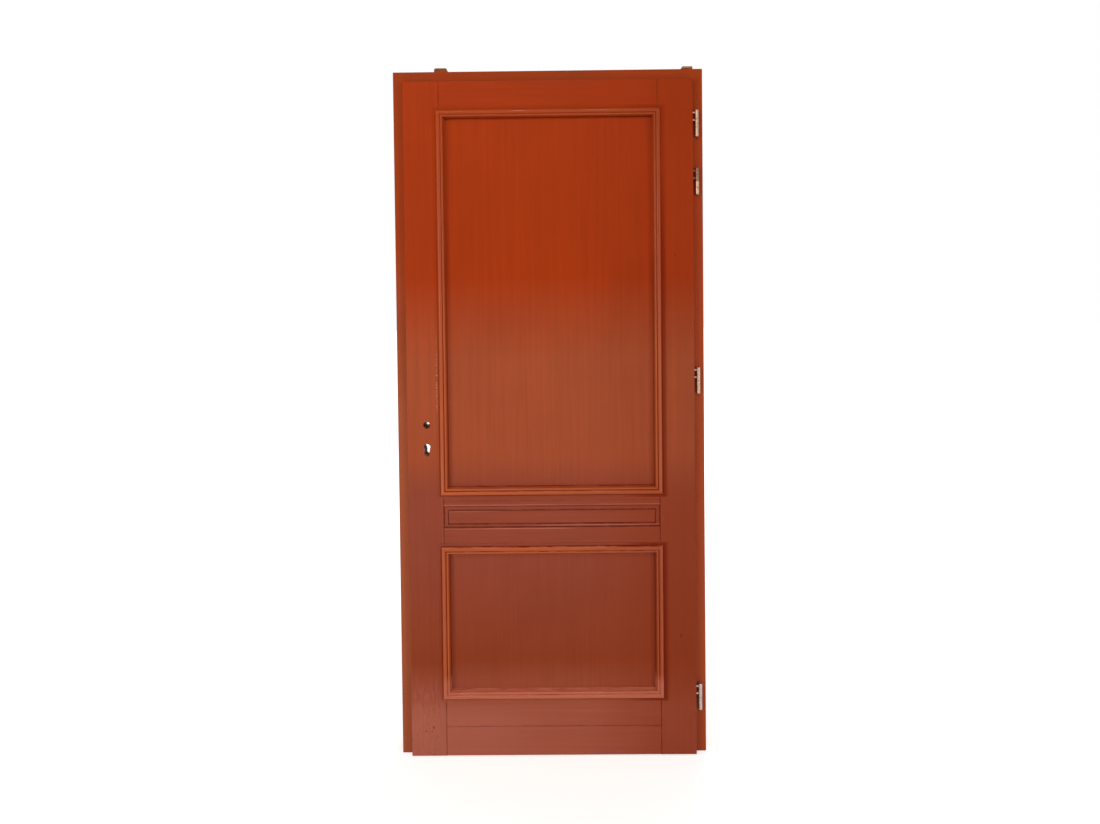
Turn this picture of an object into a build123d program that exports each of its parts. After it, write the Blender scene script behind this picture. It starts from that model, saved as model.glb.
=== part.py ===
from build123d import *
import os
from math import radians, sin

# A two-panel painted front door in its rebated timber frame, hung on four lift-off hinges.
# Millimetres, +Z up, the side seen first faces -Y, the lock is at -X and the hinges are at +X.
# The origin lies on the floor, under the middle of the frame's box.

os.makedirs("parts", exist_ok=True)

# Frame
frame_width = 960
frame_height = 2145
frame_depth = 80
jamb_margin = 33
head_margin = 33
stop_width = 14
head_tenon_length = 30
head_tenon_thickness = 20
head_tenon_inset = 12

# Leaf: a thick tongue that sits in the rebate, and a lip that covers the frame's face
lip_thickness = 20
lip_width = 15
tongue_thickness = 25
stile_width = 110
leaf_edge_round = 2.5

# Running gaps round the leaf
lip_gap = 2
rebate_gap = 3.5
stop_gap = 2
floor_gap = 4

# Rail boards: the top rail's height, and the other boards' edges above the floor
top_rail_height = 98
middle_rail_top = 836
strip_top = 791.5
strip_bottom = 725.5
middle_rail_bottom = 657
bottom_rail_top = 194
bottom_rail_joint = 96.5

# Joints between stiles, rails and panels
groove_depth = 12
panel_recess = 12
panel_thickness = 14
panel_play = 0.2
panel_edge_gap = 1.5
tenon_length = 50
tenon_inset = 4
board_tongue = 8
joint_chamfer = 0.8

# The fielded strip between the two boards of the middle rail: bevels rise from its edges
# to a raised field with a small groove round it
strip_side_bevel = 13
strip_top_bevel = 12.5
strip_bottom_bevel = 11
strip_edge_sink = 4
strip_bevel_sink = 1.6
strip_groove_width = 1.8
strip_groove_sink = 3.4
strip_field_sink = 0.2
strip_field_chamfer = 1.4

# Raised moulding round each panel: it laps over the stile and reaches on to the panel
moulding_lap = 18
moulding_reach = 17
moulding_height = 9
moulding_flange_width = 9
moulding_flange_height = 1.2
moulding_groove_place = 23.5
moulding_groove_height = 4.5
inner_bead_height = 6.5
inner_bead_end = 31
inner_bead_foot = 2

# Plain bead on the back of each panel
back_bead_width = 16
back_bead_height = 15

# Hinges: two knuckles on a pin, with a pair of prongs each
upper_hinge_drops = (137, 316, 934)
lowest_hinge_rise = 181
barrel_radius = 6
barrel_offset = 13.5
barrel_behind_face = 11
knuckle_height = 40.5
knuckle_round = 1.2
pin_radius = 3.2
pin_running_gap = 0.06
pin_reach = 31
washer_thickness = 1.2
washer_overhang = 0.3
washer_play = 0.05
prong_radius = 3
prong_hole_play = 0.15
prong_grip = 38
prong_end = 10
prong_far = 33

# Lock
backset = 45
spindle_height = 1047
cylinder_drop = 70
lock_set_back = 13.5
forend_width = 18
forend_height = 225
forend_thickness = 3
forend_drop = 32
case_depth = 68
case_thickness = 14.5
case_wall = 1.5
case_above_spindle = 40
case_below_cylinder = 32
case_play = 0.4
spindle_hole_radius = 11
spindle_square = 8
hub_radius = 11
hub_play = 0.25
journal_radius = 9
journal_gap = 0.08
arm_radius = 19
arm_half_width = 2
arm_tip_radius = 3
arm_thickness = 2.4
arm_swing = 16

# Cylinder cut-out: a round head with a narrower slot under it
cylinder_radius = 8.5
cylinder_slot_width = 10
cylinder_height = 33
cylinder_hole_margin = 3

# Hole in the forend for the screw that fixes a cylinder
cylinder_screw_radius = 2.6
cylinder_screw_drop = 17

# Latch and dead bolt, drawn back into the case at rest
bolt_thickness = 11
bolt_play = 0.3
latch_head_height = 20
latch_head_length = 16
latch_nose = 9
latch_travel = 10.5
latch_set_back = 0.4
stem_radius = 2.5
tail_thickness = 4
tail_height = 8
tail_gap = 0.4
stem_guide_place = 30
stem_guide_thickness = 2
dead_bolt_rise = 25
dead_bolt_height = 22
dead_bolt_head_length = 26
dead_bolt_tail_length = 39
dead_bolt_tail_thickness = 5
dead_bolt_tail_height = 22
dead_bolt_throw = 20
cam_notch_width = 14
cam_notch_depth = 4
guide_post_place = 39.5
guide_post_radius = 2.5
detent_notch = 1.5

# Springs in the lock
spring_wire = 0.9
spring_radius = 4.1
spring_turns = 5
detent_strip = 0.7
detent_width = 5
detent_length = 20

# Screws in the forend and the strike plate
screw_head_radius = 3.6
screw_shank_radius = 1.8
screw_length = 22
screw_head_height = 1.8
screw_end_inset = 12
screw_play = 0.15

# Strike plate, let into the lock jamb
strike_width = 18
strike_shorter_by = 55
strike_thickness = 2
strike_hole_play = 1.5
pocket_depth = 22

# Screws that hold the cover on the lock case
cover_screw_radius = 1.5
cover_screw_head_radius = 2.6
cover_screw_head_height = 1
cover_post_radius = 3.2

# Lugs on top of the frame's head: width, distance of the middle from the frame's edge, rise, corner
left_lug = (40, 148, 12, 6)
right_lug = (32, 45.5, 9, 2)
lug_depth = 30
lug_set_back = 1

# Depths, from the mouldings' crown at the front to the frame's back
leaf_thickness = lip_thickness + tongue_thickness
leaf_proud = lip_thickness + lip_gap
total_depth = moulding_height + leaf_proud + frame_depth
leaf_face = moulding_height - total_depth / 2
lip_back = leaf_face + lip_thickness
leaf_back = leaf_face + leaf_thickness
frame_face = leaf_face + leaf_proud
frame_back = frame_face + frame_depth
stop_face = leaf_back + stop_gap
panel_face = leaf_face + panel_recess
panel_back = panel_face + panel_thickness
hinge_axis_y = leaf_face + barrel_behind_face
lock_middle = lip_back + lock_set_back

# Widths, from the middle out
frame_edge = frame_width / 2
leaf_edge = frame_edge - jamb_margin
tongue_edge = leaf_edge - lip_width
rebate_edge = tongue_edge + rebate_gap
stop_edge = rebate_edge - stop_width
stile_edge = leaf_edge - stile_width
hinge_axis_x = leaf_edge + barrel_offset

# Heights
leaf_top = frame_height - head_margin
top_rail_bottom = leaf_top - top_rail_height
hinge_seams = [leaf_top - drop for drop in upper_hinge_drops] + [lowest_hinge_rise]
tongue_top = leaf_top - lip_width
head_rebate = tongue_top + rebate_gap
head_stop = head_rebate - stop_width
cylinder_z = spindle_height - cylinder_drop
dead_bolt_z = cylinder_z + dead_bolt_rise
latch_z = spindle_height + arm_radius
strike_height = forend_height - strike_shorter_by

# Rail boards: bottom edge, top edge, grooved below, grooved above
rail_boards = {
    "top_rail": (top_rail_bottom, leaf_top, True, False),
    "middle_rail_upper": (strip_top, middle_rail_top, True, True),
    "middle_rail_lower": (middle_rail_bottom, strip_bottom, True, True),
    "bottom_rail_upper": (bottom_rail_joint, bottom_rail_top, True, True),
    "bottom_rail_lower": (floor_gap, bottom_rail_joint, False, False),
}


def upright(y):
    """A plane facing the viewer at depth y: its local x and y are the part's X and Z."""
    return Plane(origin=(0, y, 0), x_dir=(1, 0, 0), z_dir=(0, -1, 0))


def facing_right(x):
    """A plane square to X: its local x and y are the part's Y and Z."""
    return Plane(origin=(x, 0, 0), x_dir=(0, 1, 0), z_dir=(1, 0, 0))


def span(low, high):
    """The length and the middle of a stretch."""
    return high - low, (low + high) / 2


def add_block(x_low, x_high, y_low, y_high, z_low, z_high, mode=Mode.ADD):
    """Adds a block to the part that is being built, or cuts it out."""
    width, x_middle = span(x_low, x_high)
    depth, y_middle = span(y_low, y_high)
    height, z_middle = span(z_low, z_high)
    with Locations((x_middle, y_middle, z_middle)):
        Box(width, depth, height, mode=mode)


def face_edges(piece, direction):
    """The edges of a piece that lie in the leaf's face and run one way."""
    in_face = piece.edges().filter_by_position(Axis.Y, leaf_face - 0.1, leaf_face + 0.1)
    return in_face.filter_by(direction)


def finish(piece, name):
    """Labels a finished piece and writes it."""
    piece.part.label = name
    export_step(piece.part, f"parts/{name}.step")


# Frame: two jambs and a head, rebated for the leaf


def tenon_span(name):
    """The height that a rail board's haunch fills in the stile's groove."""
    low, high, groove_below, groove_above = rail_boards[name]
    if groove_below:
        low = low + groove_depth
    if groove_above:
        high = high - groove_depth
    return low, high


def jamb(side):
    """A rebated jamb on one side of the doorway, with the mortise for the head's tenon."""
    tenon_y = (stop_face + frame_back) / 2
    with BuildPart() as post:
        with BuildSketch():
            with BuildLine():
                Polyline(
                    (side * frame_edge, frame_face),
                    (side * rebate_edge, frame_face),
                    (side * rebate_edge, stop_face),
                    (side * stop_edge, stop_face),
                    (side * stop_edge, frame_back),
                    (side * frame_edge, frame_back),
                    close=True,
                )
            make_face()
        extrude(amount=frame_height)
        mortise = sorted((side * stop_edge, side * (stop_edge + head_tenon_length + screw_play)))
        add_block(
            *mortise,
            tenon_y - head_tenon_thickness / 2 - screw_play,
            tenon_y + head_tenon_thickness / 2 + screw_play,
            head_stop + head_tenon_inset - screw_play,
            frame_height - head_tenon_inset + screw_play,
            mode=Mode.SUBTRACT,
        )
    return post


with BuildPart() as frame_head:
    tenon_middle = (stop_face + frame_back) / 2
    add_block(-rebate_edge, rebate_edge, frame_face, stop_face, head_rebate, frame_height)
    add_block(-stop_edge, stop_edge, stop_face, frame_back, head_stop, frame_height)
    add_block(
        -stop_edge - head_tenon_length,
        stop_edge + head_tenon_length,
        tenon_middle - head_tenon_thickness / 2,
        tenon_middle + head_tenon_thickness / 2,
        head_stop + head_tenon_inset,
        frame_height - head_tenon_inset,
    )
finish(frame_head, "frame_head")

strike_middle = (latch_z + dead_bolt_z) / 2
strike_holes = ((latch_z, latch_head_height), (dead_bolt_z, dead_bolt_height))
strike_screw_heights = (
    strike_middle - strike_height / 2 + screw_end_inset,
    strike_middle + strike_height / 2 - screw_end_inset,
)
pocket_width = bolt_thickness + 2 * strike_hole_play

lock_post = jamb(-1)
with BuildPart() as lock_jamb:
    add(lock_post.part)
    add_block(
        -rebate_edge - strike_thickness,
        -rebate_edge,
        lock_middle - strike_width / 2 - screw_play,
        lock_middle + strike_width / 2 + screw_play,
        strike_middle - strike_height / 2 - screw_play,
        strike_middle + strike_height / 2 + screw_play,
        mode=Mode.SUBTRACT,
    )
    for hole_z, bolt_height in strike_holes:
        add_block(
            -rebate_edge - pocket_depth,
            -rebate_edge - strike_thickness,
            lock_middle - pocket_width / 2,
            lock_middle + pocket_width / 2,
            hole_z - bolt_height / 2 - strike_hole_play,
            hole_z + bolt_height / 2 + strike_hole_play,
            mode=Mode.SUBTRACT,
        )
    for screw_z in strike_screw_heights:
        with BuildSketch(facing_right(-rebate_edge - screw_length - screw_play)):
            with Locations((lock_middle, screw_z)):
                Circle(screw_shank_radius + screw_play)
        extrude(amount=screw_length, mode=Mode.SUBTRACT)
finish(lock_jamb, "lock_jamb")

hinge_post = jamb(1)
with BuildPart() as hinge_jamb:
    add(hinge_post.part)
    for seam in hinge_seams:
        with BuildSketch(upright(frame_face + prong_grip)):
            with Locations((hinge_axis_x, seam - prong_end), (hinge_axis_x, seam - prong_far)):
                Circle(prong_radius + prong_hole_play)
        extrude(amount=prong_grip, mode=Mode.SUBTRACT)
finish(hinge_jamb, "hinge_jamb")


def head_lug(side, lug):
    """A small rounded lug that stands on the frame's head, by its front edge."""
    width, inset, rise, corner = lug
    with BuildPart() as piece:
        with BuildSketch(upright(frame_face + lug_set_back + lug_depth)):
            with Locations((side * (frame_edge - inset), frame_height + rise / 2)):
                Rectangle(width, rise)
        extrude(amount=lug_depth)
        top_corners = piece.edges().filter_by(Axis.Y).group_by(Axis.Z)[-1]
        fillet(top_corners, radius=corner)
    return piece


head_lug_left = head_lug(-1, left_lug)
finish(head_lug_left, "head_lug_left")
head_lug_right = head_lug(1, right_lug)
finish(head_lug_right, "head_lug_right")


# Screws: countersunk, heads flush with their plate


def screw(point, direction, length, play, mode):
    """Adds one countersunk screw to the part that is being built, or cuts its hole."""
    foot = (Align.CENTER, Align.CENTER, Align.MIN)
    head = screw_head_radius + play
    shank = screw_shank_radius + play
    with Locations(Plane(origin=point, x_dir=(0, 1, 0), z_dir=(direction, 0, 0))):
        Cone(head, shank, screw_head_height, align=foot, mode=mode)
        Cylinder(shank, length, align=foot, mode=mode)


def screws(points, direction):
    """Countersunk screws, their heads flush at the points and their shanks along X."""
    with BuildPart() as group:
        for point in points:
            screw(point, direction, screw_length - 2 * screw_play, 0, Mode.ADD)
    return group


strike_screw_points = [(-rebate_edge, lock_middle, z) for z in strike_screw_heights]
with BuildPart() as strike_plate:
    with BuildSketch(facing_right(-rebate_edge - strike_thickness)):
        with Locations((lock_middle, strike_middle)):
            Rectangle(strike_width, strike_height)
        for hole_z, bolt_height in strike_holes:
            with Locations((lock_middle, hole_z)):
                Rectangle(pocket_width, bolt_height + 2 * strike_hole_play, mode=Mode.SUBTRACT)
    extrude(amount=strike_thickness)
    for screw_point in strike_screw_points:
        screw(screw_point, -1, strike_thickness, screw_play, Mode.SUBTRACT)
finish(strike_plate, "strike_plate")
strike_screws = screws(strike_screw_points, -1)
finish(strike_screws, "strike_screws")


# Leaf: stiles, rails and panels


def stile(side):
    """A stile with its lip, the groove for the panels and a mortise for each rail board."""
    groove_front = panel_face - panel_play
    groove_back = panel_back + panel_play
    with BuildPart() as post:
        with BuildSketch(Plane.XY.offset(floor_gap)):
            with BuildLine():
                Polyline(
                    (side * leaf_edge, leaf_face),
                    (side * leaf_edge, lip_back),
                    (side * tongue_edge, lip_back),
                    (side * tongue_edge, leaf_back),
                    (side * stile_edge, leaf_back),
                    (side * stile_edge, groove_back),
                    (side * (stile_edge + groove_depth), groove_back),
                    (side * (stile_edge + groove_depth), groove_front),
                    (side * stile_edge, groove_front),
                    (side * stile_edge, leaf_face),
                    close=True,
                )
            make_face()
        extrude(amount=leaf_top - floor_gap)
        top_rebate = sorted((side * stile_edge, side * leaf_edge))
        add_block(*top_rebate, lip_back, leaf_back, tongue_top, leaf_top, mode=Mode.SUBTRACT)
        mortise = sorted((side * (stile_edge + groove_depth), side * (stile_edge + tenon_length + 1)))
        for name in rail_boards:
            low, high = tenon_span(name)
            add_block(
                *mortise,
                groove_front,
                groove_back,
                low + tenon_inset - panel_play,
                high - tenon_inset + panel_play,
                mode=Mode.SUBTRACT,
            )
        outer_edge = face_edges(post, Axis.Z).sort_by(Axis.X)[::side][-1]
        top_edge = face_edges(post, Axis.X).sort_by(Axis.Z)[-1]
        fillet([outer_edge, top_edge], radius=leaf_edge_round)
    return post


def rail(name):
    """A rail board between the stiles, with its haunches, tenons and panel grooves."""
    low, high, groove_below, groove_above = rail_boards[name]
    haunch_low, haunch_high = tenon_span(name)
    groove_front = panel_face - panel_play
    groove_back = panel_back + panel_play
    haunch_edge = stile_edge + groove_depth
    with BuildPart() as board:
        add_block(-stile_edge, stile_edge, leaf_face, leaf_back, low, high)
        if groove_below:
            add_block(
                -stile_edge, stile_edge, groove_front, groove_back, low, low + groove_depth,
                mode=Mode.SUBTRACT,
            )
        if groove_above:
            add_block(
                -stile_edge, stile_edge, groove_front, groove_back, high - groove_depth, high,
                mode=Mode.SUBTRACT,
            )
        add_block(-haunch_edge, haunch_edge, panel_face, panel_back, haunch_low, haunch_high)
        add_block(
            -stile_edge - tenon_length,
            stile_edge + tenon_length,
            panel_face,
            panel_back,
            haunch_low + tenon_inset,
            haunch_high - tenon_inset,
        )
        if high == leaf_top:
            add_block(
                -leaf_edge, leaf_edge, lip_back, leaf_back, tongue_top, leaf_top,
                mode=Mode.SUBTRACT,
            )
            fillet(face_edges(board, Axis.X).sort_by(Axis.Z)[-1], radius=leaf_edge_round)
        else:
            chamfer(face_edges(board, Axis.X) + face_edges(board, Axis.Z), length=joint_chamfer)
    return board


for rail_name in ("top_rail", "middle_rail_upper", "middle_rail_lower", "bottom_rail_upper"):
    finish(rail(rail_name), rail_name)

# The lowest board carries a tongue that fills the groove of the board above it
lowest_board = rail("bottom_rail_lower")
with BuildPart() as bottom_rail_lower:
    add(lowest_board.part)
    add_block(
        -stile_edge,
        stile_edge,
        panel_face,
        panel_back,
        bottom_rail_joint,
        bottom_rail_joint + board_tongue,
    )
finish(bottom_rail_lower, "bottom_rail_lower")

strip_field_bottom = strip_bottom + strip_bottom_bevel
strip_field_top = strip_top - strip_top_bevel
strip_field_edge = stile_edge - strip_side_bevel
with BuildPart() as middle_rail_strip:
    strip_edge_y = leaf_face + strip_edge_sink
    strip_bevel_y = leaf_face + strip_bevel_sink
    strip_groove_y = leaf_face + strip_groove_sink
    strip_field_y = leaf_face + strip_field_sink
    add_block(-stile_edge, stile_edge, strip_edge_y, leaf_back, strip_bottom, strip_top)
    add_block(
        -stile_edge - board_tongue,
        stile_edge + board_tongue,
        panel_face,
        panel_back,
        strip_bottom - board_tongue,
        strip_top + board_tongue,
    )
    strip_height, strip_middle = span(strip_bottom, strip_top)
    field_height, field_middle = span(strip_field_bottom, strip_field_top)
    with BuildSketch(upright(strip_edge_y)) as bevel_foot:
        with Locations((0, strip_middle)):
            Rectangle(2 * stile_edge, strip_height)
    with BuildSketch(upright(strip_bevel_y)) as bevel_crest:
        with Locations((0, field_middle)):
            Rectangle(2 * strip_field_edge, field_height)
    loft(sections=[bevel_foot.sketch, bevel_crest.sketch])
    add_block(
        -strip_field_edge,
        strip_field_edge,
        strip_bevel_y,
        strip_groove_y,
        strip_field_bottom,
        strip_field_top,
        mode=Mode.SUBTRACT,
    )
    add_block(
        -strip_field_edge + strip_groove_width,
        strip_field_edge - strip_groove_width,
        strip_field_y,
        strip_groove_y,
        strip_field_bottom + strip_groove_width,
        strip_field_top - strip_groove_width,
    )
    field_edges = middle_rail_strip.faces().filter_by(Axis.Y).sort_by(Axis.Y)[0].edges()
    chamfer(field_edges, length=strip_field_chamfer)
finish(middle_rail_strip, "middle_rail_strip")


# Panel openings: bottom and top edge of each
panel_openings = {
    "upper": (middle_rail_top, top_rail_bottom),
    "lower": (bottom_rail_top, middle_rail_bottom),
}


def panel(low, high):
    """A flat panel whose edges sit in the grooves round it."""
    bite = groove_depth - panel_edge_gap
    with BuildPart() as board:
        add_block(
            -stile_edge - bite, stile_edge + bite, panel_face, panel_back, low - bite, high + bite
        )
    return board


for panel_name, (panel_low, panel_high) in panel_openings.items():
    finish(panel(panel_low, panel_high), f"{panel_name}_panel")


# Mouldings: one profile on four mitred lengths round each panel


def front_profile():
    """The raised moulding's outline: x runs from its outer edge inwards, y stands off the leaf."""
    width = moulding_lap + moulding_reach
    bead_start = moulding_flange_width
    bead_middle = (bead_start + moulding_groove_place) / 2
    inner_start = moulding_groove_place
    inner_middle = (inner_start + inner_bead_end) / 2
    with BuildSketch(mode=Mode.PRIVATE) as outline:
        with BuildLine():
            Polyline(
                (width, -panel_recess),
                (moulding_lap, -panel_recess),
                (moulding_lap, 0),
                (0, 0),
                (0, moulding_flange_height),
                (bead_start, moulding_flange_height),
            )
            ThreePointArc(
                (bead_start, moulding_flange_height),
                (bead_middle, moulding_height),
                (inner_start, moulding_groove_height),
            )
            ThreePointArc(
                (inner_start, moulding_groove_height),
                (inner_middle, inner_bead_height),
                (inner_bead_end, inner_bead_foot),
            )
            ThreePointArc(
                (inner_bead_end, inner_bead_foot),
                (inner_bead_end + (width - inner_bead_end) * 0.35, -panel_recess * 0.5),
                (width, -panel_recess),
            )
        make_face()
    return outline.sketch


def back_profile():
    """The back bead's outline: a quarter round with a small square, lying on the panel's back."""
    step = back_bead_width / 4
    with BuildSketch(mode=Mode.PRIVATE) as outline:
        with BuildLine():
            Polyline(
                (back_bead_width, 0),
                (0, 0),
                (0, back_bead_height),
                (step, back_bead_height),
            )
            ThreePointArc(
                (step, back_bead_height),
                (step + (back_bead_width - step) * 0.6, back_bead_height * 0.75),
                (back_bead_width, 0),
            )
        make_face()
    return outline.sketch


def moulding_length(outline, corner, inward, away, length):
    """A length of moulding, mitred at both ends, whose outer edge starts at the corner."""
    along = inward.cross(away)
    start = Plane(origin=corner, x_dir=inward, z_dir=along)
    finish_corner = corner + along * length
    with BuildPart() as piece:
        with BuildSketch(start):
            add(outline)
        extrude(amount=length)
        split(bisect_by=Plane(origin=corner, z_dir=along - inward), keep=Keep.TOP)
        split(bisect_by=Plane(origin=finish_corner, z_dir=-along - inward), keep=Keep.TOP)
    return piece


def moulding_set(outline, base_y, away, edge_x, low, high, names):
    """Four mitred lengths round an opening, from the bottom one on."""
    sides = {
        "bottom": Vector(0, 0, 1),
        "right": Vector(-1, 0, 0),
        "top": Vector(0, 0, -1),
        "left": Vector(1, 0, 0),
    }
    for side_name, inward in sides.items():
        along = inward.cross(away)
        start_x = -edge_x * (along.X + inward.X)
        start_z = (low + high) / 2 - (high - low) / 2 * (along.Z + inward.Z)
        length = 2 * edge_x if abs(along.X) > 0.5 else high - low
        corner = Vector(start_x, base_y, start_z)
        finish(moulding_length(outline, corner, inward, away, length), names + side_name)


towards_viewer = Vector(0, -1, 0)
towards_back = Vector(0, 1, 0)
for panel_name, (panel_low, panel_high) in panel_openings.items():
    moulding_set(
        front_profile(),
        leaf_face,
        towards_viewer,
        stile_edge + moulding_lap,
        panel_low - moulding_lap,
        panel_high + moulding_lap,
        f"{panel_name}_moulding_",
    )
    moulding_set(
        back_profile(),
        panel_back,
        towards_back,
        stile_edge,
        panel_low,
        panel_high,
        f"{panel_name}_back_bead_",
    )


# Hinges: the upper knuckle goes into the leaf's lip, the lower one into the jamb's face


def knuckle(bottom, closed_end):
    """One knuckle: a barrel with a blind bore for the pin, rounded at its closed end."""
    axis_point = (hinge_axis_x, hinge_axis_y)
    bore_depth = pin_reach + pin_running_gap
    mouth = bottom if closed_end > 0 else bottom + knuckle_height
    with BuildPart() as barrel:
        with BuildSketch(Plane.XY.offset(bottom)):
            with Locations(axis_point):
                Circle(barrel_radius)
        extrude(amount=knuckle_height)
        rims = barrel.edges().filter_by(GeomType.CIRCLE).sort_by(Axis.Z)
        fillet(rims[-1 if closed_end > 0 else 0], radius=knuckle_round)
        with BuildSketch(Plane.XY.offset(mouth)):
            with Locations(axis_point):
                Circle(pin_radius + (pin_running_gap if closed_end > 0 else 0))
        extrude(amount=closed_end * bore_depth, mode=Mode.SUBTRACT)
    return barrel


for number, seam in enumerate(hinge_seams, start=1):
    half_washer = washer_thickness / 2
    upper_bottom = seam + half_washer + washer_play
    lower_bottom = seam - half_washer - washer_play - knuckle_height

    upper_barrel = knuckle(upper_bottom, 1)
    with BuildPart() as leaf_knuckle:
        add(upper_barrel.part)
        with BuildSketch(facing_right(leaf_edge - prong_grip)):
            with Locations((hinge_axis_y, seam + prong_end), (hinge_axis_y, seam + prong_far)):
                Circle(prong_radius)
        extrude(amount=prong_grip + barrel_offset - (pin_radius + barrel_radius) / 2)
    finish(leaf_knuckle, f"hinge_{number}_leaf_knuckle")

    lower_barrel = knuckle(lower_bottom, -1)
    with BuildPart() as frame_knuckle:
        add(lower_barrel.part)
        with BuildSketch(upright(frame_face + prong_grip)):
            with Locations((hinge_axis_x, seam - prong_end), (hinge_axis_x, seam - prong_far)):
                Circle(prong_radius)
        prong_span = frame_face + prong_grip - hinge_axis_y - (pin_radius + barrel_radius) / 2
        extrude(amount=prong_span)
    finish(frame_knuckle, f"hinge_{number}_frame_knuckle")

    with BuildPart() as pin:
        with BuildSketch(Plane.XY.offset(seam - pin_reach)):
            with Locations((hinge_axis_x, hinge_axis_y)):
                Circle(pin_radius)
        extrude(amount=2 * pin_reach)
        chamfer(pin.edges().filter_by(GeomType.CIRCLE), length=0.6)
    finish(pin, f"hinge_{number}_pin")

    with BuildPart() as washer:
        with BuildSketch(Plane.XY.offset(seam - half_washer)):
            with Locations((hinge_axis_x, hinge_axis_y)):
                Circle(barrel_radius + washer_overhang)
                Circle(pin_radius + pin_running_gap, mode=Mode.SUBTRACT)
        extrude(amount=washer_thickness)
    finish(washer, f"hinge_{number}_washer")

right_stile = stile(1)
with BuildPart() as hinge_stile:
    add(right_stile.part)
    for seam in hinge_seams:
        with BuildSketch(facing_right(leaf_edge - prong_grip)):
            with Locations((hinge_axis_y, seam + prong_end), (hinge_axis_y, seam + prong_far)):
                Circle(prong_radius + prong_hole_play)
        extrude(amount=prong_grip, mode=Mode.SUBTRACT)
finish(hinge_stile, "hinge_stile")


# Lock: a mortise case in the lock stile, seen only through the spindle and cylinder holes
lock_edge = -tongue_edge
spindle_x = lock_edge + backset
case_left = lock_edge + forend_thickness
case_right = case_left + case_depth
case_bottom = cylinder_z - case_below_cylinder
case_top = spindle_height + case_above_spindle
case_front = lock_middle - case_thickness / 2
case_back = lock_middle + case_thickness / 2
room_front = case_front + case_wall
room_back = case_back - case_wall
forend_middle = spindle_height - forend_drop
forend_screw_points = [
    (lock_edge, lock_middle, forend_middle - forend_height / 2 + screw_end_inset),
    (lock_edge, lock_middle, forend_middle + forend_height / 2 - screw_end_inset),
]
cover_screw_points = [
    (case_left + 9, case_top - 6),
    (case_right - 7, case_top - 6),
    (case_left + 9, case_bottom + 7),
    (case_right - 7, case_bottom + 7),
]


def cylinder_outline(margin=0):
    """Sketches the cut-out for a profile cylinder, with some margin all round."""
    foot_z = cylinder_z + cylinder_radius - cylinder_height + cylinder_slot_width / 2
    slot_height, slot_middle = span(foot_z, cylinder_z)
    with Locations((spindle_x, cylinder_z)):
        Circle(cylinder_radius + margin)
    with Locations((spindle_x, slot_middle)):
        Rectangle(cylinder_slot_width + 2 * margin, slot_height)
    with Locations((spindle_x, foot_z)):
        Circle(cylinder_slot_width / 2 + margin)


def cut_cylinder_screw_hole(start, length):
    """Cuts the hole for a cylinder's fixing screw, square to the forend."""
    with BuildSketch(facing_right(start)) as hole:
        with Locations((lock_middle, cylinder_z - cylinder_screw_drop)):
            Circle(cylinder_screw_radius)
    extrude(hole.sketch, amount=length, mode=Mode.SUBTRACT)


def cut_through_lock(front, back, hole_radius, margin):
    """Cuts the spindle hole and the cylinder cut-out through the part that is being built."""
    with BuildSketch(upright(back)) as openings:
        with Locations((spindle_x, spindle_height)):
            Circle(hole_radius)
        cylinder_outline(margin)
    extrude(openings.sketch, amount=back - front, mode=Mode.SUBTRACT)


left_stile = stile(-1)
with BuildPart() as lock_stile:
    add(left_stile.part)
    cut_through_lock(leaf_face, leaf_back, spindle_hole_radius, cylinder_hole_margin)
    add_block(
        lock_edge,
        case_right + case_play,
        case_front - case_play,
        case_back + case_play,
        case_bottom - case_play,
        case_top + case_play,
        mode=Mode.SUBTRACT,
    )
    with BuildSketch(facing_right(lock_edge)):
        with Locations((lock_middle, forend_middle)):
            SlotOverall(forend_height + 2 * screw_play, forend_width + 2 * screw_play, rotation=90)
    extrude(amount=forend_thickness, mode=Mode.SUBTRACT)
    for x, y, z in forend_screw_points:
        with BuildSketch(facing_right(x)):
            with Locations((y, z)):
                Circle(screw_shank_radius + screw_play)
        extrude(amount=screw_length, mode=Mode.SUBTRACT)
finish(lock_stile, "lock_stile")

with BuildPart() as lock_forend:
    with BuildSketch(facing_right(lock_edge)):
        with Locations((lock_middle, forend_middle)):
            SlotOverall(forend_height, forend_width, rotation=90)
        with Locations((lock_middle, latch_z)):
            Rectangle(
                bolt_thickness + 2 * bolt_play, latch_head_height + 2 * bolt_play, mode=Mode.SUBTRACT
            )
        with Locations((lock_middle, dead_bolt_z)):
            Rectangle(
                bolt_thickness + 2 * bolt_play, dead_bolt_height + 2 * bolt_play, mode=Mode.SUBTRACT
            )
    extrude(amount=forend_thickness)
    for screw_point in forend_screw_points:
        screw(screw_point, 1, forend_thickness, screw_play, Mode.SUBTRACT)
    cut_cylinder_screw_hole(lock_edge, forend_thickness)
finish(lock_forend, "lock_forend")
forend_screws = screws(forend_screw_points, 1)
finish(forend_screws, "forend_screws")

stem_guide_x = lock_edge + stem_guide_place
guide_post_x = lock_edge + guide_post_place

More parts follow.
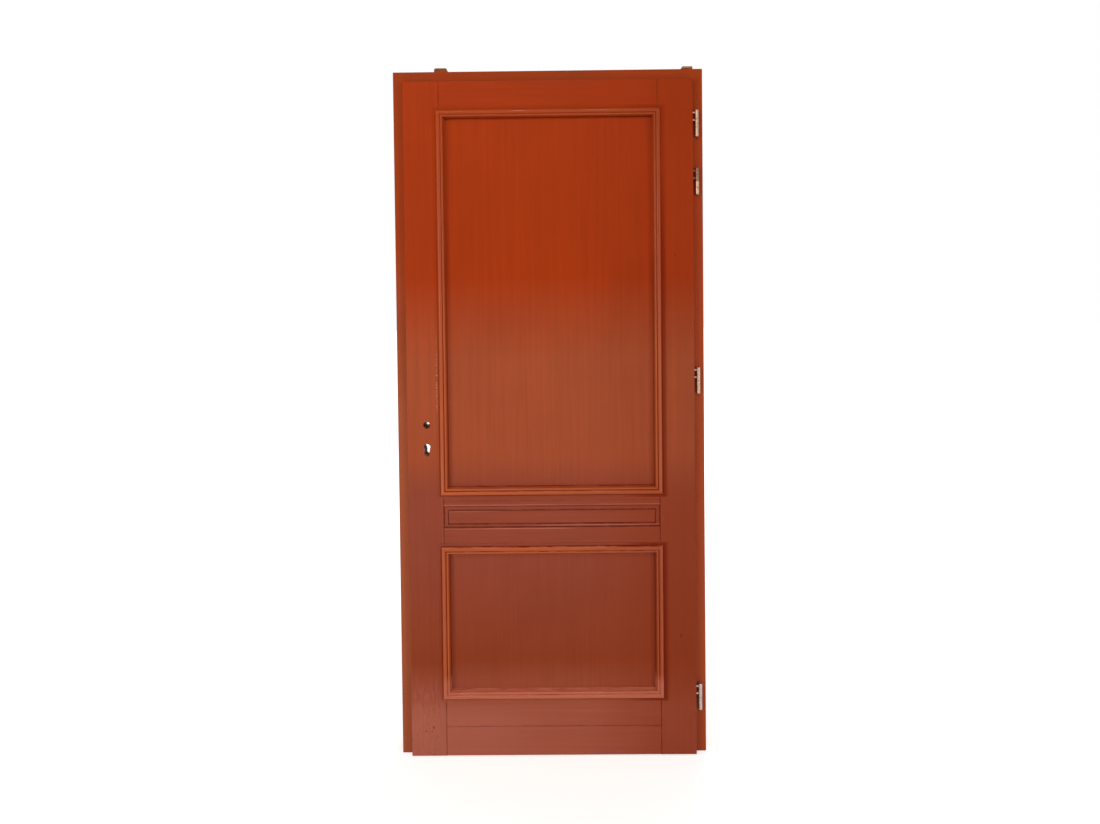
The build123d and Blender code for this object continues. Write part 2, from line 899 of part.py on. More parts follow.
with BuildPart() as lock_case:
    add_block(case_left, case_right, room_front, case_back, case_bottom, case_top)
    add_block(
        case_left + case_wall,
        case_right - case_wall,
        room_front,
        room_back,
        case_bottom + case_wall,
        case_top - case_wall,
        mode=Mode.SUBTRACT,
    )
    for bolt_z, bolt_height in strike_holes:
        add_block(
            case_left,
            case_left + case_wall,
            lock_middle - bolt_thickness / 2 - bolt_play,
            lock_middle + bolt_thickness / 2 + bolt_play,
            bolt_z - bolt_height / 2 - bolt_play,
            bolt_z + bolt_height / 2 + bolt_play,
            mode=Mode.SUBTRACT,
        )
    add_block(
        stem_guide_x,
        stem_guide_x + stem_guide_thickness,
        room_front,
        room_back,
        latch_z - latch_head_height / 2,
        case_top - case_wall,
    )
    with BuildSketch(facing_right(stem_guide_x)):
        with Locations((lock_middle, latch_z)):
            Circle(stem_radius + bolt_play)
    extrude(amount=stem_guide_thickness, mode=Mode.SUBTRACT)
    with BuildSketch(upright(room_back)):
        with Locations(*cover_screw_points):
            Circle(cover_post_radius)
    extrude(amount=room_back - room_front)
    with BuildSketch(upright(room_back)):
        with Locations((guide_post_x, dead_bolt_z)):
            Circle(guide_post_radius)
    extrude(amount=room_back - room_front)
    with BuildSketch(upright(room_back)):
        with Locations(*cover_screw_points):
            Circle(cover_screw_radius)
    extrude(amount=room_back - room_front, mode=Mode.SUBTRACT)
    cut_through_lock(room_back, case_back, journal_radius + journal_gap, 0)
    cut_cylinder_screw_hole(case_left, case_wall)
finish(lock_case, "lock_case")

with BuildPart() as lock_cover:
    add_block(case_left, case_right, case_front, room_front, case_bottom, case_top)
    cut_through_lock(case_front, room_front, journal_radius + journal_gap, 0)
    with BuildSketch(upright(room_front)):
        with Locations(*cover_screw_points):
            Circle(cover_screw_radius + screw_play)
    extrude(amount=case_wall, mode=Mode.SUBTRACT)
    with BuildSketch(upright(case_front + cover_screw_head_height)):
        with Locations(*cover_screw_points):
            Circle(cover_screw_head_radius + screw_play)
    extrude(amount=cover_screw_head_height, mode=Mode.SUBTRACT)
finish(lock_cover, "lock_cover")

with BuildPart() as cover_screws:
    with BuildSketch(upright(case_front + cover_screw_head_height)):
        with Locations(*cover_screw_points):
            Circle(cover_screw_head_radius)
    extrude(amount=cover_screw_head_height)
    with BuildSketch(upright(room_back)):
        with Locations(*cover_screw_points):
            Circle(cover_screw_radius)
    extrude(amount=room_back - case_front - cover_screw_head_height)
finish(cover_screws, "cover_screws")

# Follower: a hub with a square hole and a forked arm that draws the latch back
arm_tip_x = spindle_x + arm_radius * sin(radians(arm_swing))
with BuildPart() as follower:
    with BuildSketch(upright(room_back - hub_play)):
        with Locations((spindle_x, spindle_height)):
            Circle(hub_radius)
    extrude(amount=room_back - room_front - 2 * hub_play)
    with BuildSketch(upright(case_back)):
        with Locations((spindle_x, spindle_height)):
            Circle(journal_radius)
    extrude(amount=case_thickness)
    for cheek_back in (room_back - hub_play, room_front + hub_play + arm_thickness):
        with BuildSketch(upright(cheek_back)):
            with Locations(Location((spindle_x, spindle_height, 0), (0, 0, -arm_swing))):
                with Locations((0, arm_radius / 2)):
                    Rectangle(2 * arm_half_width, arm_radius)
                with Locations((0, arm_radius)):
                    Circle(arm_tip_radius)
        extrude(amount=arm_thickness)
    with BuildSketch(upright(case_back)):
        with Locations(Location((spindle_x, spindle_height, 0), (0, 0, -2 * arm_swing))):
            Rectangle(spindle_square, spindle_square)
    extrude(amount=case_thickness, mode=Mode.SUBTRACT)
finish(follower, "follower")

# Latch: a bevelled head, a round stem through the spring, and a tail for the arm
latch_nose_x = lock_edge + latch_set_back
latch_shoulder_x = latch_nose_x + latch_head_length
tail_x = arm_tip_x + arm_tip_radius + tail_gap
with BuildPart() as latch_bolt:
    with BuildSketch(Plane.XY.offset(latch_z - latch_head_height / 2)):
        with BuildLine():
            Polyline(
                (latch_nose_x, lock_middle - bolt_thickness / 2),
                (latch_nose_x, lock_middle - bolt_thickness / 4),
                (latch_nose_x + latch_nose, lock_middle + bolt_thickness / 2),
                (latch_shoulder_x, lock_middle + bolt_thickness / 2),
                (latch_shoulder_x, lock_middle - bolt_thickness / 2),
                close=True,
            )
        make_face()
    extrude(amount=latch_head_height)
    with BuildSketch(facing_right(latch_shoulder_x)):
        with Locations((lock_middle, latch_z)):
            Circle(stem_radius)
    extrude(amount=tail_x + tail_thickness - latch_shoulder_x)
    add_block(
        tail_x,
        tail_x + tail_thickness,
        lock_middle - bolt_thickness / 2,
        lock_middle + bolt_thickness / 2,
        latch_z - tail_height / 2,
        latch_z + tail_height / 2,
    )
finish(latch_bolt, "latch_bolt")

spring_gap = 0.3
spring_length = stem_guide_x - latch_shoulder_x - 2 * spring_gap - spring_wire
with BuildPart() as latch_spring:
    spring_start = Plane(
        origin=(latch_shoulder_x + spring_gap + spring_wire / 2, lock_middle, latch_z),
        x_dir=(0, 1, 0),
        z_dir=(1, 0, 0),
    )
    with BuildLine() as coil:
        Helix(
            pitch=spring_length / spring_turns,
            height=spring_length,
            radius=spring_radius,
            center=spring_start.origin,
            direction=spring_start.z_dir,
        )
    with BuildSketch(Plane(origin=coil.line @ 0, z_dir=coil.line % 0)):
        Circle(spring_wire / 2)
    sweep(path=coil.line)
finish(latch_spring, "latch_spring")

# Dead bolt: a square head, and a tail with a guide slot, a cam notch and two detents
dead_bolt_nose_x = lock_edge + latch_set_back
dead_bolt_neck_x = dead_bolt_nose_x + dead_bolt_head_length
dead_bolt_end_x = dead_bolt_neck_x + dead_bolt_tail_length
tail_top = dead_bolt_z + dead_bolt_tail_height / 2
detent_x = dead_bolt_end_x - detent_length / 2
with BuildPart() as dead_bolt:
    add_block(
        dead_bolt_nose_x,
        dead_bolt_neck_x,
        lock_middle - bolt_thickness / 2,
        lock_middle + bolt_thickness / 2,
        dead_bolt_z - dead_bolt_height / 2,
        dead_bolt_z + dead_bolt_height / 2,
    )
    with BuildSketch(upright(lock_middle + dead_bolt_tail_thickness / 2)):
        tail_length, tail_middle = span(dead_bolt_neck_x, dead_bolt_end_x)
        with Locations((tail_middle, dead_bolt_z)):
            Rectangle(tail_length, dead_bolt_tail_height)
        slot_reach = dead_bolt_throw + 2 * (guide_post_radius + bolt_play)
        with Locations((guide_post_x + dead_bolt_throw / 2, dead_bolt_z)):
            SlotOverall(slot_reach, 2 * (guide_post_radius + bolt_play), mode=Mode.SUBTRACT)
        with Locations((spindle_x + dead_bolt_throw / 2, dead_bolt_z - dead_bolt_tail_height / 2)):
            Rectangle(cam_notch_width, 2 * cam_notch_depth, mode=Mode.SUBTRACT)
        with Locations((detent_x, tail_top), (detent_x - dead_bolt_throw, tail_top)):
            Circle(detent_notch + detent_strip, mode=Mode.SUBTRACT)
    extrude(amount=dead_bolt_tail_thickness)
finish(dead_bolt, "dead_bolt")

# Detent spring: a bent strip clamped at the case's back wall, its dimple in the bolt's notch
with BuildPart() as bolt_detent_spring:
    strip_seat = tail_top + bolt_play
    strip_right = case_right - case_wall
    with BuildSketch(upright(lock_middle + detent_width / 2)):
        with BuildLine():
            Polyline(
                (detent_x - detent_length / 2, strip_seat + 2),
                (detent_x - detent_notch, strip_seat),
                (detent_x, strip_seat - detent_notch),
                (detent_x + detent_notch, strip_seat),
                (strip_right - detent_strip, strip_seat + 2),
                (strip_right - detent_strip, strip_seat + 14),
                (strip_right, strip_seat + 14),
                (strip_right, strip_seat + 2),
                (detent_x + detent_notch, strip_seat - detent_strip / 2),
                (detent_x, strip_seat - detent_notch - detent_strip),
                (detent_x - detent_notch, strip_seat - detent_strip / 2),
                (detent_x - detent_length / 2, strip_seat + 2 - detent_strip),
                close=True,
            )
        make_face()
    extrude(amount=detent_width)
finish(bolt_detent_spring, "bolt_detent_spring")
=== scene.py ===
from math import cos, sin

import bpy
from mathutils import Matrix, Vector


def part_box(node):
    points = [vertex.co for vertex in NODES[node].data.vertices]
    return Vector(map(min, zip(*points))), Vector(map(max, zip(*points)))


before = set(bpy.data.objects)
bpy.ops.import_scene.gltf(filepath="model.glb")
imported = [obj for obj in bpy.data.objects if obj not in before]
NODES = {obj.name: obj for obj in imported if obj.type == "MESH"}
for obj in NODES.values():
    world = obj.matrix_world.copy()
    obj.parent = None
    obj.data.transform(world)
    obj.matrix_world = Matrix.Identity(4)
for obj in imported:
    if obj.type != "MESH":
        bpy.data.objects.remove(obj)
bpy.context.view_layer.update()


# Camera: where the photograph was taken from, in metres and radians

VIEW_SIZE = (1100, 824)
FOCAL_PIXELS = 723.5
PRINCIPAL_ROW = 276
SENSOR_WIDTH = 36
EYE_HEIGHT = 1.5574
EYE_SIDE = 0.0157
EYE_DISTANCE = 2.2373
LEAF_FACE = -0.0465
TILT_DOWN = 0.0221
TURN = 0.0061
ROLL = -0.0107


def set_camera():
    """Stands the camera where the photograph was taken from."""
    ahead = Vector((-cos(TILT_DOWN) * sin(TURN), cos(TILT_DOWN) * cos(TURN), -sin(TILT_DOWN)))
    level_right = Vector((cos(TURN), sin(TURN), 0))
    level_up = Vector((-sin(TILT_DOWN) * sin(TURN), sin(TILT_DOWN) * cos(TURN), cos(TILT_DOWN)))
    right = cos(ROLL) * level_right + sin(ROLL) * level_up
    up = cos(ROLL) * level_up - sin(ROLL) * level_right
    data = bpy.data.cameras.new("photo_view")
    data.sensor_width = SENSOR_WIDTH
    data.sensor_fit = "HORIZONTAL"
    data.lens = SENSOR_WIDTH * FOCAL_PIXELS / VIEW_SIZE[0]
    data.shift_y = (PRINCIPAL_ROW - VIEW_SIZE[1] / 2) / VIEW_SIZE[0]
    camera = bpy.data.objects.new("photo_view", data)
    bpy.context.scene.collection.objects.link(camera)
    turn = Matrix((right, up, -ahead)).transposed().to_4x4()
    eye = (EYE_SIDE, LEAF_FACE - EYE_DISTANCE, EYE_HEIGHT)
    camera.matrix_world = Matrix.Translation(eye) @ turn
    bpy.context.scene.camera = camera


set_camera()


# Shader arithmetic


def linear(colour):
    """A display colour, 0 to 255 a channel, as the linear colour that a shader takes."""
    channels = [c / 255 for c in colour]
    return tuple(c / 12.92 if c <= 0.04045 else ((c + 0.055) / 1.055) ** 2.4 for c in channels)


class Signal:
    """An output socket that joins in plain arithmetic on values."""

    def __init__(self, finish, socket):
        self.finish = finish
        self.socket = socket

    def sum(self, operation, *values):
        return self.finish.node("ShaderNodeMath", {"operation": operation}, *values)

    def __add__(self, other):
        return self.sum("ADD", self, other)

    def __radd__(self, other):
        return self.sum("ADD", other, self)

    def __sub__(self, other):
        return self.sum("SUBTRACT", self, other)

    def __rsub__(self, other):
        return self.sum("SUBTRACT", other, self)

    def __mul__(self, other):
        return self.sum("MULTIPLY", self, other)

    def __truediv__(self, other):
        return self.sum("DIVIDE", self, other)

    def __abs__(self):
        return self.sum("ABSOLUTE", self)

    def most(self, other):
        return self.sum("MAXIMUM", self, other)

    def ramp(self, start, end, from_value=0.0, to_value=1.0):
        """Goes smoothly from one value at the start to the other at the end."""
        sockets = {
            "Value": self,
            "From Min": start,
            "From Max": end,
            "To Min": from_value,
            "To Max": to_value,
        }
        return self.finish.node(
            "ShaderNodeMapRange", {"interpolation_type": "SMOOTHSTEP"}, **sockets
        )

    def near(self, place, width):
        """One at the place, falling to nothing a width away from it."""
        return abs(self - place).ramp(0.0, width, 1.0, 0.0)

    def between(self, foot, top, edge):
        """One between two places, falling to nothing an edge's width outside them."""
        return self.ramp(foot - edge, foot) * self.ramp(top + edge, top)


class Finish:
    """A material in the making: a Principled shader and the nodes that feed it."""

    def __init__(self, name):
        self.material = bpy.data.materials.new(name)
        self.material.use_nodes = True
        self.tree = self.material.node_tree
        self.shader = self.tree.nodes["Principled BSDF"]

    def node(self, kind, settings=None, *inputs, output=0, **named):
        """Adds a node, sets its settings, then its sockets, and gives one of its outputs."""
        made = self.tree.nodes.new(kind)
        for key, value in (settings or {}).items():
            if key == "stops":
                self.set_stops(made.color_ramp, value)
            else:
                setattr(made, key, value)
        for index, value in enumerate(inputs):
            self.feed(made.inputs[index], value)
        for key, value in named.items():
            self.feed(made.inputs[key], value)
        return Signal(self, made.outputs[output])

    def set_stops(self, band, stops):
        while len(band.elements) < len(stops):
            band.elements.new(0.5)
        for element, (place, colour) in zip(band.elements, stops):
            element.position = place
            element.color = (*colour, 1)

    def feed(self, socket, value):
        if isinstance(value, Signal):
            self.tree.links.new(value.socket, socket)
        elif isinstance(value, tuple) and len(value) == 3 and socket.type == "RGBA":
            socket.default_value = (*value, 1)
        else:
            socket.default_value = value

    def place(self):
        """Where the point lies on the object, in metres, whatever the pose."""
        return self.node("ShaderNodeTexCoord", output="Object")

    def axes(self, vector):
        parts = self.node("ShaderNodeSeparateXYZ", None, vector).socket.node
        return [Signal(self, parts.outputs[i]) for i in range(3)]

    def stretched(self, vector, scale):
        """The place with each axis scaled, for a pattern that runs along the grain."""
        return self.node("ShaderNodeMapping", None, Vector=vector, Scale=scale)

    def noise(self, vector, scale, detail, roughness):
        """Soft noise around a half."""
        sockets = {"Vector": vector, "Scale": scale, "Detail": detail, "Roughness": roughness}
        return self.node("ShaderNodeTexNoise", None, **sockets)

    def tint(self, amount, base, over):
        """Mixes two colours by an amount."""
        made = self.tree.nodes.new("ShaderNodeMix")
        made.data_type = "RGBA"
        made.clamp_factor = True
        factor, first, second, mixed = 0, 6, 7, 2  # this node's sockets for colours
        self.feed(made.inputs[factor], amount)
        self.feed(made.inputs[first], base)
        self.feed(made.inputs[second], over)
        return Signal(self, made.outputs[mixed])

    def bump(self, height, distance, strength):
        sockets = {"Height": height, "Distance": distance, "Strength": strength}
        return self.node("ShaderNodeBump", None, **sockets)

    def set(self, **sockets):
        for key, value in sockets.items():
            self.feed(self.shader.inputs[key.replace("_", " ")], value)
        return self.material


def dress(material, names):
    """Gives CAD nodes a material."""
    for name in names:
        NODES[name].data.materials.clear()
        NODES[name].data.materials.append(material)


# Where the parts meet, in metres, read from the parts in model.glb


def low(name, axis):
    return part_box(name)[0][axis]


def high(name, axis):
    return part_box(name)[1][axis]


BOARD_TONGUE = 0.008
SEAM_X = high("middle_rail_strip", 0) - BOARD_TONGUE
STRIP_TOP = high("middle_rail_strip", 2) - BOARD_TONGUE
STRIP_FOOT = low("middle_rail_strip", 2) + BOARD_TONGUE
BOARD_JOINTS = (high("bottom_rail_lower", 2) - BOARD_TONGUE, STRIP_TOP, STRIP_FOOT)
PANEL_EDGE_HIDDEN = 0.028
DOOR_HEIGHT = high("lock_jamb", 2)
DOOR_HALF = high("hinge_jamb", 0)

# The painted shade round the strip's raised field
FIELD_X = SEAM_X - 0.0139
FIELD_TOP = STRIP_TOP - 0.0116
FIELD_FOOT = STRIP_FOOT + 0.0102

# A moulding's profile, as distances in from its outer edge
FLANGE = 0.009
CREST = 0.0160
GROOVE = 0.0235
INNER_CREST = 0.0275
INNER_EDGE = (0.031, 0.034)


# Paint: orange-brown gloss, with a painted sheen that turns it a paler brown low down

PAINT_TOP = linear((162, 54, 12))
PAINT_SHEENED = linear((164, 77, 46))
PAINT_RAIL = linear((148, 70, 50))
PAINT_LOW = linear((144, 61, 32))
PAINT_FOOT = linear((168, 88, 66))
PAINT_CLEAR = linear((154, 58, 22))
TRIM_TOP = linear((166, 66, 24))
TRIM_LOW = linear((180, 84, 42))
FRAME_TOP = linear((156, 58, 14))
FRAME_LOW = linear((168, 86, 54))
FRAME_CLOUD = linear((128, 52, 26))
FRAME_CLEAR = linear((166, 62, 26))
# Dark lines and specks: dirt in joints, and painted shade under mouldings and round the strip's
# field
DARK_DIRT_AND_SHADE = linear((78, 16, 2))
# Painted shade in the mouldings' grooves and beside the right-hand mouldings
SHADE_RED = linear((116, 26, 2))
# A painted sheen at the leaf's foot by the lock
FOOT_SHEEN = linear((184, 106, 86))
SCRAPED_PINK = linear((184, 106, 92))
EDGE_LIT = linear((192, 116, 96))
# Painted highlights on the mouldings' crests
CREST_HIGHLIGHT = linear((206, 112, 76))
TRIM_FOOT = linear((200, 112, 88))
CHIP_PALE = linear((214, 150, 120))
UPWARD_PALE = linear((204, 116, 90))
LUG_DARK = linear((96, 42, 14))
LUG_BROWN = linear((146, 76, 28))
LUG_BARE = linear((176, 152, 120))

# Each paint's colours by height, as shares of the door's height
# On the leaf, the paler, hazier bands below the top are a painted sheen: the gloss reflecting a
# bright room
LEAF_HEIGHTS = [
    (0.0, PAINT_FOOT),
    (0.07, PAINT_FOOT),
    (0.14, PAINT_LOW),
    (0.30, PAINT_RAIL),
    (0.39, PAINT_RAIL),
    (0.44, PAINT_SHEENED),
    (0.58, PAINT_SHEENED),
    (0.70, PAINT_TOP),
]
TRIM_HEIGHTS = [(0.0, TRIM_LOW), (0.55, TRIM_LOW), (0.70, TRIM_TOP)]
FRAME_HEIGHTS = [(0.0, FRAME_LOW), (0.50, FRAME_LOW), (0.75, FRAME_TOP)]

# Between these heights, going down, the mouldings' painted shade and painted crest highlights
# grow
LIGHT_AND_SHADE_GROW = (1.75, 1.05)
# Between these heights, going down, the painted shadow at the right-hand mouldings' outer edges
# grows
RIGHT_SHADOW_GROWS = (1.85, 1.5)

# Scales of the stroke noise along x, y and z, by the way the grain runs
ALONG = {"x": (1.0, 12.0, 40.0), "z": (40.0, 12.0, 1.0)}

# Dark specks on the stiles: x, z and half their width
SPECKS = (
    (-0.378, 0.094, 0.004),
    (-0.402, 0.082, 0.003),
    (0.4, 0.38, 0.004),
    (0.39, 1.57, 0.003),
)


class Paint(Finish):
    """Brushed gloss paint on timber, with the strokes along the grain."""

    def __init__(self, name, grain, heights):
        super().__init__(name)
        self.spot = self.place()
        self.x, _, self.z = self.axes(self.spot)
        grained = self.stretched(self.spot, ALONG[grain])
        self.strokes = self.noise(grained, 2.2, 4.0, 0.6)
        self.bristles = self.noise(grained, 14.0, 3.0, 0.6)
        self.clouds = self.noise(self.spot, 3.1, 3.0, 0.55)
        self.breaks = self.noise(self.spot, 21.0, 3.0, 0.6)
        self.coat = self.brushed(heights)

    def brushed(self, heights):
        """The colour at each height, uneven along the strokes and in soft clouds."""
        band = self.node("ShaderNodeValToRGB", {"stops": heights}, self.z / DOOR_HEIGHT)
        uneven = (self.strokes - 0.5) * 0.34 + (self.clouds - 0.5) * 0.30 + 1.0
        return self.scaled(band, uneven)

    def scaled(self, colour, amount):
        return self.node("ShaderNodeVectorMath", {"operation": "SCALE"}, colour, Scale=amount)

    def blot(self, amount, colour):
        """Lays another colour over the coat where the amount says."""
        self.coat = self.tint(amount, self.coat, colour)

    def shade_and_sheen_by_side(self):
        """Painted light: the hinge side is shaded darker and, low down, kept free of the painted
        sheen; the foot by the lock gets a paler painted sheen.
        """
        clear = self.x.ramp(0.05, 0.42) * self.z.ramp(1.0, 0.75)
        self.blot(clear * 0.6, PAINT_CLEAR)
        sheened_foot = self.x.ramp(0.05, -0.25) * self.z.ramp(0.19, 0.12)
        self.blot(sheened_foot * 0.45, FOOT_SHEEN)
        self.coat = self.scaled(self.coat, self.x.ramp(0.0, DOOR_HALF, 1.0, 0.84))

    def seam(self, place, where, width=0.0032, depth=0.75):
        """A dark line, uneven along its length: a joint, or a painted shadow."""
        uneven = self.clouds.ramp(0.3, 0.65, 0.6, 1.0) * self.breaks.ramp(0.35, 0.65, 0.4, 1.0)
        self.blot(place.near(where, width) * uneven * depth, DARK_DIRT_AND_SHADE)

    def done(self, gloss, shine):
        """Sets the shader: how rough the paint is, and how much it mirrors."""
        height = self.strokes * 0.7 + self.bristles * 0.3
        return self.set(
            Base_Color=self.coat,
            Roughness=gloss + (self.bristles - 0.5) * 0.16 + (self.clouds - 0.5) * 0.12,
            Normal=self.bump(height, 0.0003, 0.5),
            Specular_IOR_Level=shine,
        )


def stile_finish():
    """The stiles: joints with the rails, a painted shadow beside the right-hand mouldings, and a
    worn, dotted patch at the foot by the lock.
    """
    made = Paint("stile_paint", "z", LEAF_HEIGHTS)
    made.shade_and_sheen_by_side()
    made.seam(abs(made.x), SEAM_X)
    # Painted shadow on the stile just right of each right-hand moulding, deeper lower down
    for panel in ("upper", "lower"):
        name = f"{panel}_moulding_right"
        foot = low(name, 2)
        top = high(name, 2)
        fade = 0.004
        beside = made.z.ramp(foot - fade, foot + fade) * made.z.ramp(top + fade, top - fade)
        shadow_depth = made.z.ramp(*RIGHT_SHADOW_GROWS, 0.2, 0.6)
        made.blot(made.x.near(high(name, 0) - 0.002, 0.013) * beside * shadow_depth, SHADE_RED)
    by_lock = made.x.ramp(-0.34, -0.36) * made.z.ramp(0.30, 0.12)
    scrapes = made.noise(made.stretched(made.spot, (70.0, 10.0, 9.0)), 2.0, 4.0, 0.7)
    made.blot(by_lock * scrapes.ramp(0.46, 0.62) * 0.55, SCRAPED_PINK)
    dots = made.noise(made.spot, 190.0, 2.0, 0.5)
    made.blot(by_lock * dots.ramp(0.66, 0.72) * 0.7, DARK_DIRT_AND_SHADE)
    for speck_x, speck_z, reach in SPECKS:
        across = made.x.near(speck_x, reach)
        made.blot(across * made.z.near(speck_z, reach * 1.6) * 0.85, DARK_DIRT_AND_SHADE)
    return made.done(0.36, 0.07)


def rail_finish():
    """The rails: joints with the stiles and between the boards, a hair crack, painted shade
    round the strip's raised field, and painted highlights on its board edges.
    """
    made = Paint("rail_paint", "x", LEAF_HEIGHTS)
    made.shade_and_sheen_by_side()
    made.seam(abs(made.x), SEAM_X)
    for joint_z in BOARD_JOINTS:
        made.seam(made.z, joint_z, depth=0.6)
    wander = (made.clouds - 0.5) * 0.006
    crack = STRIP_TOP + 0.018
    made.seam(made.z + wander, crack, 0.0018, 0.5)
    # Painted shade in the grooves above and below the raised field and along its sides
    beside_field = abs(made.x).ramp(FIELD_X + 0.002, FIELD_X)
    broken = made.breaks.ramp(0.38, 0.6, 0.2, 0.7)
    for groove_z in (FIELD_TOP, FIELD_FOOT):
        made.blot(beside_field * made.z.near(groove_z, 0.0035) * broken, DARK_DIRT_AND_SHADE)
    in_field_height = made.z.between(FIELD_FOOT, FIELD_TOP, 0.001)
    made.blot(in_field_height * abs(made.x).near(FIELD_X, 0.003) * 0.5, DARK_DIRT_AND_SHADE)
    made.blot(lit_edges(made, beside_field) * made.strokes.ramp(0.3, 0.55) * 0.8, EDGE_LIT)
    return made.done(0.38, 0.07)


def lit_edges(made, beside_field):
    """Where the edges of the middle rail's boards catch the light from above."""
    width = 0.003
    field = made.z.near(FIELD_TOP - 0.004, width) * beside_field * made.x.ramp(-0.12, -0.24)
    below = made.z.near(STRIP_FOOT - 0.004, width) * made.x.ramp(0.1, 0.0)
    bevel = made.z.near(STRIP_FOOT + 0.005, width) * made.x.ramp(-0.1, 0.0)
    above = made.z.near(STRIP_TOP + 0.004, width) * 0.6
    return field.most(below).most(bevel).most(above)


def panel_finish():
    """The panels: smooth, with a painted shadow under each panel's top moulding."""
    made = Paint("panel_paint", "z", LEAF_HEIGHTS)
    made.shade_and_sheen_by_side()
    # Painted shadow along each panel's top, under its moulding
    for name in ("upper_panel", "lower_panel"):
        made.seam(made.z, high(name, 2) - PANEL_EDGE_HIDDEN, 0.005, 0.4)
    return made.done(0.33, 0.07)


def trim_finish(name, grain, inward, under_shadow=False):
    """A moulding: its flange painted as the leaf, painted shade in its grooves and along its
    edges, and painted highlights on its crests.
    """
    made = Paint(name, grain, TRIM_HEIGHTS)
    across = inward(made)
    made.blot(across.ramp(FLANGE + 0.0008, FLANGE - 0.0004), made.brushed(LEAF_HEIGHTS))
    made.shade_and_sheen_by_side()
    shade_strength = made.z.ramp(*LIGHT_AND_SHADE_GROW, 0.15, 1.0)
    # Painted highlights along the crests, stronger lower down
    crests = across.near(CREST, 0.005).most(across.near(INNER_CREST, 0.003))
    streaks = made.strokes.ramp(0.35, 0.7) * made.z.ramp(*LIGHT_AND_SHADE_GROW)
    made.blot(crests * streaks * 0.3, CREST_HIGHLIGHT)
    # Painted shade in the grooves and along the inner edge; it grows lower down, but under a top
    # moulding the inner edge keeps it in full
    grooves = across.near(FLANGE, 0.0036).most(across.near(GROOVE, 0.0028))
    inner_edge = across.ramp(*INNER_EDGE)
    if not under_shadow:
        inner_edge = inner_edge * shade_strength
    made.blot((grooves * shade_strength).most(inner_edge) * 0.85, SHADE_RED)
    # Painted shadow on the right-hand mouldings' outer flanges
    right_flange_shadow = made.x.ramp(0.2, 0.33) * across.ramp(0.011, 0.008)
    made.blot(right_flange_shadow * made.z.ramp(*RIGHT_SHADOW_GROWS, 0.2, 0.65), SHADE_RED)
    chips = made.noise(made.spot, 240.0, 2.0, 0.6)
    by_handle = made.x.ramp(-0.34, -0.35) * made.z.near(1.18, 0.17) * across.ramp(0.004, 0.002)
    made.blot(by_handle * chips.ramp(0.5, 0.56) * 0.9, CHIP_PALE)
    made.blot(pale_where_up(made) * 0.6, UPWARD_PALE)
    near_foot = made.z.ramp(0.27, 0.23) * across.ramp(0.009, 0.012)
    made.blot(near_foot * made.bristles.ramp(0.3, 0.6, 0.4, 1.0) * 0.75, TRIM_FOOT)
    made.set(Coat_Weight=across.ramp(FLANGE, FLANGE + 0.002) * 0.2, Coat_Roughness=0.14)
    return made.done(0.3, 0.04)


def pale_where_up(made):
    """Where low mouldings are paler: the slopes that look up, in long patches."""
    upward = made.axes(made.node("ShaderNodeTexCoord", output="Normal"))[2]
    patches = made.noise(made.stretched(made.spot, (9.0, 60.0, 60.0)), 2.0, 3.0, 0.6)
    return upward.ramp(0.35, 0.8) * patches.ramp(0.42, 0.62) * made.z.ramp(0.95, 0.7)


def back_bead_finish():
    """The plain beads on the leaf's back."""
    return Paint("back_bead_paint", "z", TRIM_HEIGHTS).done(0.32, 0.2)


def frame_finish(name, grain):
    """The frame: the same paint, duller and a little more orange."""
    made = Paint(name, grain, FRAME_HEIGHTS)
    made.blot(made.clouds.ramp(0.5, 0.72) * 0.35, FRAME_CLOUD)
    made.blot(made.x.ramp(0.40, 0.46) * made.z.ramp(2.05, 1.9) * 0.6, FRAME_CLEAR)
    return made.done(0.42, 0.08)


def lug_finish(name, bare_from):
    """A lug on the head: brown paint, bare and grey from a height above the jambs."""
    made = Finish(name)
    spot = made.place()
    z = made.axes(spot)[2]
    grain = made.noise(made.stretched(spot, (8.0, 60.0, 60.0)), 9.0, 4.0, 0.6)
    worn = (z - DOOR_HEIGHT).ramp(bare_from, bare_from + 0.003) * grain.ramp(0.25, 0.5)
    stained = made.tint(grain.ramp(0.35, 0.65), LUG_DARK, LUG_BROWN)
    return made.set(
        Base_Color=made.tint(worn * 0.8, stained, LUG_BARE),
        Roughness=0.5 + grain * 0.3,
        Normal=made.bump(grain, 0.0004, 0.6),
        Specular_IOR_Level=0.2,
    )


def steel_finish(name, colour, stain, rough, dirt=0.5):
    """Plated steel, dulled, scratched and a little stained."""
    made = Finish(name)
    spot = made.place()
    scratches = made.noise(made.stretched(spot, (90.0, 90.0, 12.0)), 9.0, 4.0, 0.7)
    stains = made.noise(spot, 150.0, 3.0, 0.6)
    return made.set(
        Base_Color=made.tint(stains.ramp(0.42, 0.7, 0.0, dirt), linear(colour), linear(stain)),
        Metallic=1.0,
        Roughness=rough + (scratches - 0.5) * 0.3,
        Normal=made.bump(scratches, 0.00015, 0.4),
    )


def from_side(made):
    """How far in from the outer edge of an upright moulding a point lies."""
    return high("upper_moulding_right", 0) - abs(made.x)


def from_above(name):
    """How far in from the outer edge of a top moulding a point lies."""
    return lambda made: high(name, 2) - made.z


def from_below(name):
    """How far in from the outer edge of a bottom moulding a point lies."""
    return lambda made: made.z - low(name, 2)


PANELS = ("upper", "lower")

